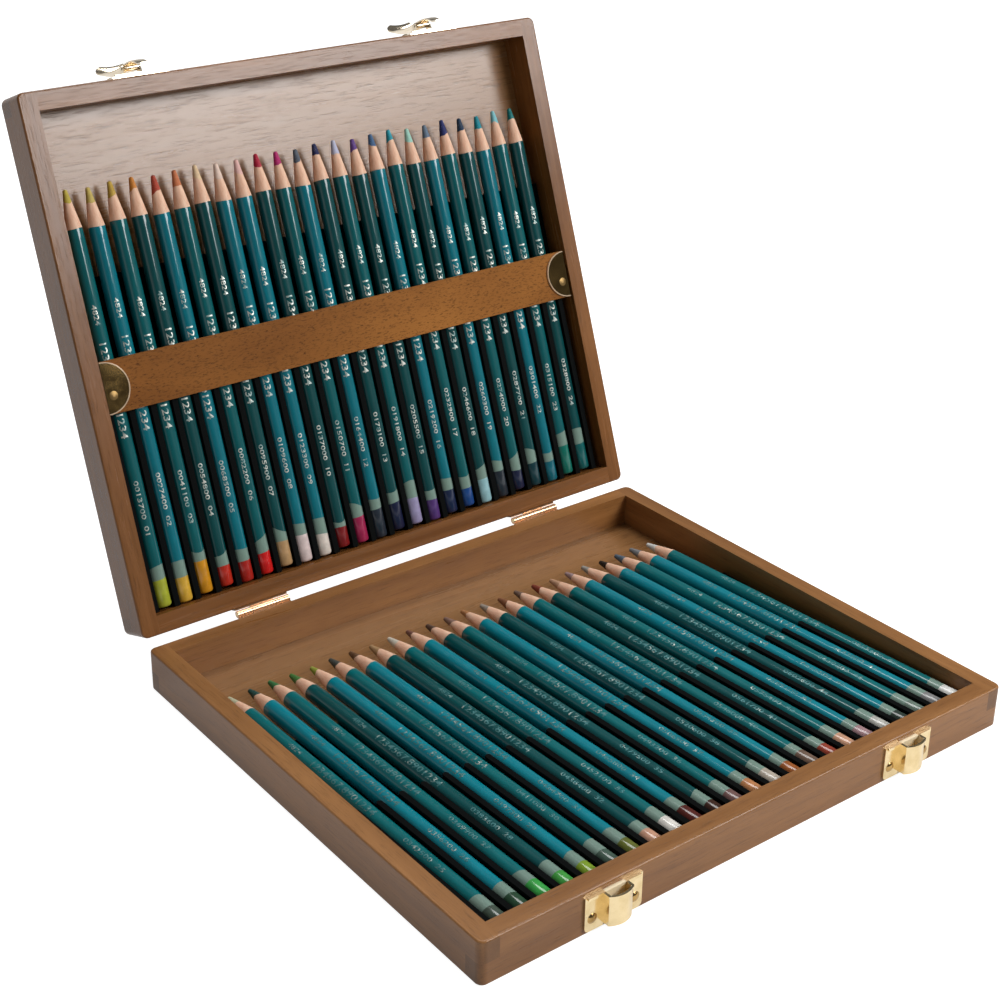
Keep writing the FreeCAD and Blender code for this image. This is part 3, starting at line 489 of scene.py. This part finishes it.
cedar = dict(pale=colour("f0cbb0"), warm=colour("dca688"), line=colour("b07454"), stretch=6,
             grainScale=90.0, lineScale=260.0, lineDepth=0.55, roughness=0.6, specular=0.25, bump=0.2,
             bumpDeep=0.0002)


def coneMaterial(name, look):
    # cut cedar: grain running up the cone, fine dark lines
    mat, tree, shader = newMaterial(name)
    drawn = mapped(tree, objectCoords(tree), Scale=(look["stretch"], look["stretch"], 1))
    figure = noise(tree, drawn, look["grainScale"], 5.0, 0.65)
    wood = mixColour(tree, fade(tree, figure, (0.3, 0.7)), look["warm"], look["pale"])
    lines = fade(tree, noise(tree, drawn, look["lineScale"], 3.0), (0.55, 0.75), look["lineDepth"])
    link(tree, mixColour(tree, lines, wood, look["line"]), shader.inputs["Base Color"])
    shader.inputs["Roughness"].default_value = look["roughness"]
    shader.inputs["Specular IOR Level"].default_value = look["specular"]
    bumpFrom(tree, shader, figure, look["bump"], look["bumpDeep"])
    return mat


lacquer = tintMaterial("pencilLacquer")
bandPaint = tintMaterial("pencilBand")
dipPaint = tintMaterial("pencilDip")
coneWood = coneMaterial("pencilCedar", cedar)
coreWax = tintMaterial("pencilPigment")
bandTint = colour("7c968a")
# material slots of a barrel
onBarrel, onBand, onDip, onCone = range(4)


def makePencil(tray, i, cores):
    chance = random.Random(100 * len(tray) + i)
    row, sides, length = rows[tray], pencil["sides"], pencil["length"]
    core, dip = tints[tray][i].split()
    dipAt = chance.uniform(*row["dip"])
    bandAt = dipAt + chance.uniform(*row["band"])
    coreAt = length - pencil["core"] - chance.uniform(*pencil["coreStray"])
    dipLine = wave(chance, *pencil["dipWave"])
    bandLine = wave(chance, row["slant"], pencil["bandRipple"])
    coneLine = wave(chance, *pencil["coneWave"])
    coreLine = wave(chance, *pencil["coreWave"])
    full, coneAt = pencil["diameter"] / 2, length - pencil["cone"] + pencil["coneStart"]
    rings = [(height, full - inset, flat) for height, inset in pencil["endRound"]]
    rings += [(dipAt, None, dipLine), (bandAt, None, bandLine),
              (coneAt - pencil["shoulder"], None, flat), (coneAt, None, coneLine), (coreAt, None, coreLine)]
    mesh = ([], [])
    first = lathe(mesh, rings, sides, [onDip] * 4 + [onBand, onBarrel, onBarrel, onCone])
    cap(mesh, first, sides, False, onDip)
    place = pencilPlace(tray, i)
    finish = {onBarrel: shades[tray][row["shades"][i]], onBand: bandTint, onDip: colour(dip),
              onCone: (1, 1, 1)}
    piece = meshObject("%s_pencil_%02d" % (tray, i + 1), mesh, [lacquer, bandPaint, dipPaint, coneWood],
                       place, lambda slot: finish[slot])
    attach(piece, tray)
    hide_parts(tray + "_pencil_casings")
    # the cores of a row are one piece, each with its own tint
    lead = ([], [])
    blunt, pointRadius = pencil["point"]
    rings = [(coreAt, None, coreLine), (length - blunt, None, flat), (length, pointRadius, flat)]
    first = lathe(lead, rings, sides, [0, 0])
    cap(lead, first + 2 * sides, sides, True, 0)
    offset = len(cores[1])
    toTray = trayPlace[tray].inverted() @ place
    cores[1].extend(tuple(toTray @ Vector(v)) for v in lead[1])
    cores[0].extend((tuple(v + offset for v in face), (0, colour(core))) for face, slot in lead[0])


for tray in ("base", "lid"):
    cores = ([], [])
    for i in range(pencil["count"]):
        makePencil(tray, i, cores)
    piece = meshObject(tray + "_cores", cores, [coreWax], trayPlace[tray], lambda slot: slot[1], sharp=50)
    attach(piece, tray)
    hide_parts(tray + "_pencil_cores")
print("pencils done")


# latch levers: thin tail with its barb, and a dished flap turned up at its end
# millimetres from the pin: X along it, Y out of the board, Z towards the flap

lever = dict(gauge=0.6, knuckle=1.4, knuckleHalf=3.2, bore=0.62, barb=(5.2, 0.65, 0.85), barbSunk=0.15,
             columns=13, sides=32, steps=4, sharp=40)
# place along the lever, half width, height of its back, dish of its sides
leverSections = [
    (-15.9, 2.6, -0.1, -0.1), (-14.3, 2.6, -0.05, -0.1), (-12.6, 2.6, 0.1, -0.1),
    (-10.6, 2.6, 1.1, -0.15), (-7.6, 2.7, 2.1, -0.15), (-3.8, 3.0, 2.1, -0.15),
    (0.0, 3.2, 1.7, -0.2), (3.0, 3.5, 1.1, -0.1), (5.8, 5.2, 0.1, 0.3),
    (8.8, 7.2, -0.9, 1.1), (11.8, 8.7, -1.3, 1.7), (14.0, 9.0, -0.7, 1.9),
    (15.7, 8.4, 0.6, 1.6), (16.9, 7.0, 2.1, 1.1), (17.5, 5.2, 3.3, 0.6),
]


def smoothSections(sections, steps):
    # evenly eased sections between the given ones
    fine = []
    for i in range(len(sections) - 1):
        before, after = sections[max(i - 1, 0)], sections[min(i + 2, len(sections) - 1)]
        for step in range(steps):
            t = step / steps
            fine.append([0.5 * (2 * b + (c - a) * t + (2 * a - 5 * b + 4 * c - d) * t * t
                                + (3 * b - a - 3 * c + d) * t ** 3)
                         for a, b, c, d in zip(before, sections[i], sections[i + 1], after)])
    fine.append(list(sections[-1]))
    return fine


def addStrip(shape):
    # tail and flap
    columns, gauge = lever["columns"], lever["gauge"]
    rings = []
    for along, half, back, dish in smoothSections(leverSections, lever["steps"]):
        across = [half * (2 * k / (columns - 1) - 1) for k in range(columns)]
        heights = {x: back + dish * (x / half) ** 2 for x in across}
        top = [shape.verts.new((x, heights[x], along)) for x in across]
        under = [shape.verts.new((x, heights[x] - gauge, along)) for x in reversed(across)]
        rings.append(top + under)
    for ring, following in zip(rings, rings[1:]):
        for k in range(len(ring)):
            n = (k + 1) % len(ring)
            shape.faces.new((ring[k], ring[n], following[n], following[k]))
    for ring in (rings[0], rings[-1]):
        for k in range(columns - 1):
            shape.faces.new((ring[k], ring[k + 1], ring[-k - 2], ring[-k - 1]))


def addBarb(shape):
    # lip under the end of the tail, sunk a little into it
    wide, thick, deep = lever["barb"]
    sunk = lever["barbSunk"]
    foot = leverSections[0]
    middle = (0, foot[2] - lever["gauge"] - deep / 2 + sunk, foot[0] + thick / 2)
    size = Matrix.Diagonal((wide, deep + 2 * sunk, thick, 1))
    bmesh.ops.create_cube(shape, size=1.0, matrix=Matrix.Translation(middle) @ size)


def addKnuckle(shape):
    # tube that turns on the pin
    sides, half = lever["sides"], lever["knuckleHalf"]
    outer, inner = lever["knuckle"], lever["bore"]
    corners = ((-half, outer), (half, outer), (half, inner), (-half, inner))
    loops = [[], [], [], []]
    for k in range(sides):
        angle = 2 * math.pi * k / sides
        for loop, (x, radius) in zip(loops, corners):
            loop.append(shape.verts.new((x, radius * math.cos(angle), radius * math.sin(angle))))
    for loop, following in zip(loops, loops[1:] + loops[:1]):
        for k in range(sides):
            n = (k + 1) % sides
            shape.faces.new((loop[k], loop[n], following[n], following[k]))


def makeLever(side):
    shape = bmesh.new()
    addStrip(shape)
    addBarb(shape)
    addKnuckle(shape)
    bmesh.ops.recalc_face_normals(shape, faces=shape.faces[:])
    for face in shape.faces:
        face.smooth = True
    data = bpy.data.meshes.new("latch_lever_%s_skin" % side)
    shape.to_mesh(data)
    shape.free()
    data.materials.append(leverBrass)
    data.transform(Matrix.Diagonal((mm, mm, mm, 1)))
    data.set_sharp_from_angle(angle=math.radians(lever["sharp"]))
    piece = bpy.data.objects.new("latch_%s_skin" % side, data)
    bpy.context.scene.collection.objects.link(piece)
    stand = lidPlace.to_3x3()
    turn = Matrix([stand @ Vector(axis) for axis in ((-1, 0, 0), (0, 1, 0), (0, 0, -1))]).transposed()
    pin = pivots["latch_lever_%s_pivot" % side]
    piece.matrix_world = Matrix.Translation(pin) @ turn.to_4x4()
    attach(piece, "latch_lever_" + side)
    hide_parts("latch_lever_" + side)


# latch levers, plates and pins in the lighter brass, painted light
leverBrass = brassMaterial("leverBrass", paleBrassPaintedLight)
paint([n for n in brassNodes if "latch_plate" in n or "latch_pin" in n], leverBrass)
for side in ("left", "right"):
    makeLever(side)
print("latch levers done")


# silver foil numbers along each barrel
# of each row of figures: millimetres from the point, length and height

foil = dict(lift=0.02, aroundBarrel=-11.0, turn=4.0, slide=1.5, offset=0.012, cuts=(0.2, 0.4, 0.6, 0.8),
            colour=colour("dcded4"), worn=colour("2c7478"), rubbed={"base": 0.25, "lid": 0.44}, blend=0.22,
            wear=0.95, wearScale=420.0, metallic=0.55, roughness=(0.3, 0.45),
            same={"4824": (47.0, 8.5, 2.1), "1234567.8901234": (63.0, 40.0, 3.0)},
            last=(121.0, 23.0, 2.0))


def numberShape(text):
    # a row of plain figures as a flat mesh, one unit long and one unit high
    curve = bpy.data.curves.new("figures", "FONT")
    curve.body = text
    curve.resolution_u = 2
    curve.offset = foil["offset"]
    obj = bpy.data.objects.new("figures", curve)
    bpy.context.scene.collection.objects.link(obj)
    bpy.context.view_layer.update()
    data = bpy.data.meshes.new_from_object(obj.evaluated_get(bpy.context.evaluated_depsgraph_get()))
    bpy.data.objects.remove(obj)
    xs, ys = [v.co.x for v in data.vertices], [v.co.y for v in data.vertices]
    shape = bmesh.new()
    shape.from_mesh(data)
    for v in shape.verts:
        v.co.x = (v.co.x - min(xs)) / (max(xs) - min(xs))
        v.co.y = (v.co.y - min(ys)) / (max(ys) - min(ys))
    # cuts across the figures, so that they bend round the barrel
    for level in foil["cuts"]:
        bmesh.ops.bisect_plane(shape, geom=shape.verts[:] + shape.edges[:] + shape.faces[:],
                               plane_co=(0, level, 0), plane_no=(0, 1, 0))
    shape.verts.index_update()
    flatShape = ([tuple(v.index for v in f.verts) for f in shape.faces],
                 [(v.co.x, v.co.y) for v in shape.verts])
    shape.free()
    return flatShape


def stamp(mesh, shape, layout, stray, toTray, around):
    # wrap a flat row of figures on the barrel, reading from the point to the end
    fromTip, length, height = layout
    offset = len(mesh[1])
    radius = pencil["diameter"] / 2 + foil["lift"]
    for x, y in shape[1]:
        angle = around + (y - 0.5) * height / radius
        z = pencil["length"] - (fromTip + stray) - x * length
        spot = Vector((radius * math.cos(angle) * mm, radius * math.sin(angle) * mm, z * mm))
        mesh[1].append(tuple(toTray @ spot))
    mesh[0].extend((tuple(v + offset for v in face), 0) for face in shape[0])


def foilMaterial(name, look, tray):
    mat, tree, shader = newMaterial(name)
    clouds = noise(tree, objectCoords(tree), look["wearScale"], 4.0, 0.7)
    start = look["rubbed"][tray]
    rubbed = fade(tree, clouds, (start, start + look["blend"]), look["wear"])
    link(tree, mixColour(tree, rubbed, look["colour"], look["worn"]), shader.inputs["Base Color"])
    fresh, old = look["roughness"]
    link(tree, ramp(tree, rubbed, (0.0, fresh), (1.0, old)), shader.inputs["Roughness"])
    shader.inputs["Metallic"].default_value = look["metallic"]
    return mat


sameShapes = {text: numberShape(text) for text in foil["same"]}
for tray in ("base", "lid"):
    mesh = ([], [])
    for i in range(pencil["count"]):
        chance = random.Random(7 * len(tray) + i)
        toTray = trayPlace[tray].inverted() @ pencilPlace(tray, i)
        around = math.radians(foil["aroundBarrel"] + chance.uniform(-foil["turn"], foil["turn"]))
        stray = chance.uniform(-foil["slide"], foil["slide"])
        for text, layout in foil["same"].items():
            stamp(mesh, sameShapes[text], layout, stray, toTray, around)
        number = i + 1 + (0 if tray == "lid" else pencil["count"])
        own = numberShape("%05d00  %02d" % (number * 137, number))
        stamp(mesh, own, foil["last"], stray, toTray, around)
    look = foilMaterial(tray + "SilverFoil", foil, tray)
    piece = meshObject(tray + "_foil_numbers", mesh, [look], trayPlace[tray])
    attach(piece, tray)
print("foil numbers done")


# studio

studio = dict(floorSize=8, floorDrop=0.0005, floorColour=(0.5, 0.5, 0.5), floorRoughness=0.9,
              floorGlow=0.95, floorGleam=0.5, surround=0.1, backdrop=0.72, backdropWay=(-0.7, 0.7, 0),
              backdropSide=(-0.1, 0.35), backdropTop=(0.2, 0.5),
              boxPlace=(0.82, -1.06, 0.96), boxSize=(0.95, 0.58), boxPower=22.0,
              topPlace=(0.45, 0.5, 1.7), topSize=(0.9, 0.6), topPower=15.0, aim=(0, 0.1, 0.12))


def aimAt(obj, place, target):
    obj.location = place
    obj.rotation_euler = (Vector(target) - Vector(place)).to_track_quat("-Z", "Y").to_euler()


def buildFloor():
    # white to the camera, a dimmer gleam in the lacquer, and plain grey to everything else
    bpy.ops.mesh.primitive_plane_add(size=studio["floorSize"], location=(0, 0, -studio["floorDrop"]))
    floor = bpy.context.object
    floor.name = "studioFloor"
    mat, tree, shader = newMaterial("studioFloor")
    shader.inputs["Base Color"].default_value = (*studio["floorColour"], 1)
    shader.inputs["Roughness"].default_value = studio["floorRoughness"]
    shader.inputs["Emission Color"].default_value = (1, 1, 1, 1)
    seen = addNode(tree, "ShaderNodeLightPath")
    gleam = times(tree, seen.outputs["Is Glossy Ray"], studio["floorGleam"])
    glow = maths(tree, "MULTIPLY_ADD", seen.outputs["Is Camera Ray"], studio["floorGlow"], gleam)
    link(tree, glow, shader.inputs["Emission Strength"])
    floor.data.materials.append(mat)


def buildWorld():
    # dim room with a pale backdrop low down behind the case and to its left, white to the camera
    world = bpy.data.worlds.new("studio")
    world.use_nodes = True
    tree = world.node_tree
    background = tree.nodes["Background"]
    background.inputs["Color"].default_value = (1, 1, 1, 1)
    coords = addNode(tree, "ShaderNodeTexCoord").outputs["Generated"]
    split = addNode(tree, "ShaderNodeSeparateXYZ")
    link(tree, coords, split.inputs[0])
    sideways = vectorMaths(tree, "DOT_PRODUCT", "Value", coords, studio["backdropWay"])
    full, gone = studio["backdropTop"]
    behind = times(tree, fade(tree, sideways, studio["backdropSide"]),
                   ramp(tree, split.outputs["Z"], (full, 1.0), (gone, 0.0)))
    around = ramp(tree, behind, (0.0, studio["surround"]), (1.0, studio["backdrop"]))
    seen = addNode(tree, "ShaderNodeLightPath")
    choose = addNode(tree, "ShaderNodeMix", data_type="FLOAT")
    link(tree, seen.outputs["Is Camera Ray"], choose.inputs[0])
    link(tree, around, choose.inputs[2])
    choose.inputs[3].default_value = 1.0
    link(tree, choose.outputs[0], background.inputs["Strength"])
    bpy.context.scene.world = world


def buildLights():
    for name in ("box", "top"):
        light = bpy.data.lights.new(name + "Light", "AREA")
        light.shape = "RECTANGLE"
        light.size, light.size_y = studio[name + "Size"]
        light.energy = studio[name + "Power"]
        lamp = bpy.data.objects.new(name + "Light", light)
        bpy.context.scene.collection.objects.link(lamp)
        aimAt(lamp, studio[name + "Place"], studio["aim"])
    bpy.context.scene.view_settings.view_transform = "Standard"


view = dict(place=(-0.41297, -0.48024, 0.40596), azimuth=-37.12, lookDown=24.09, roll=0.456,
            lens=65.72, sensor=36, shift=(0.0271, -0.0724), clipStart=0.01)


def buildCamera():
    camera = bpy.data.cameras.new("camera")
    camera.lens = view["lens"]
    camera.sensor_width = view["sensor"]
    camera.shift_x, camera.shift_y = view["shift"]
    camera.clip_start = view["clipStart"]
    obj = bpy.data.objects.new("camera", camera)
    bpy.context.scene.collection.objects.link(obj)
    turn = Euler((math.radians(90 - view["lookDown"]), 0, math.radians(view["azimuth"]))).to_matrix()
    roll = Matrix.Rotation(math.radians(view["roll"]), 3, "Z")
    obj.matrix_world = Matrix.Translation(view["place"]) @ (turn @ roll).to_4x4()
    bpy.context.scene.camera = obj


buildFloor()
buildWorld()
buildLights()
buildCamera()
print("studio done")
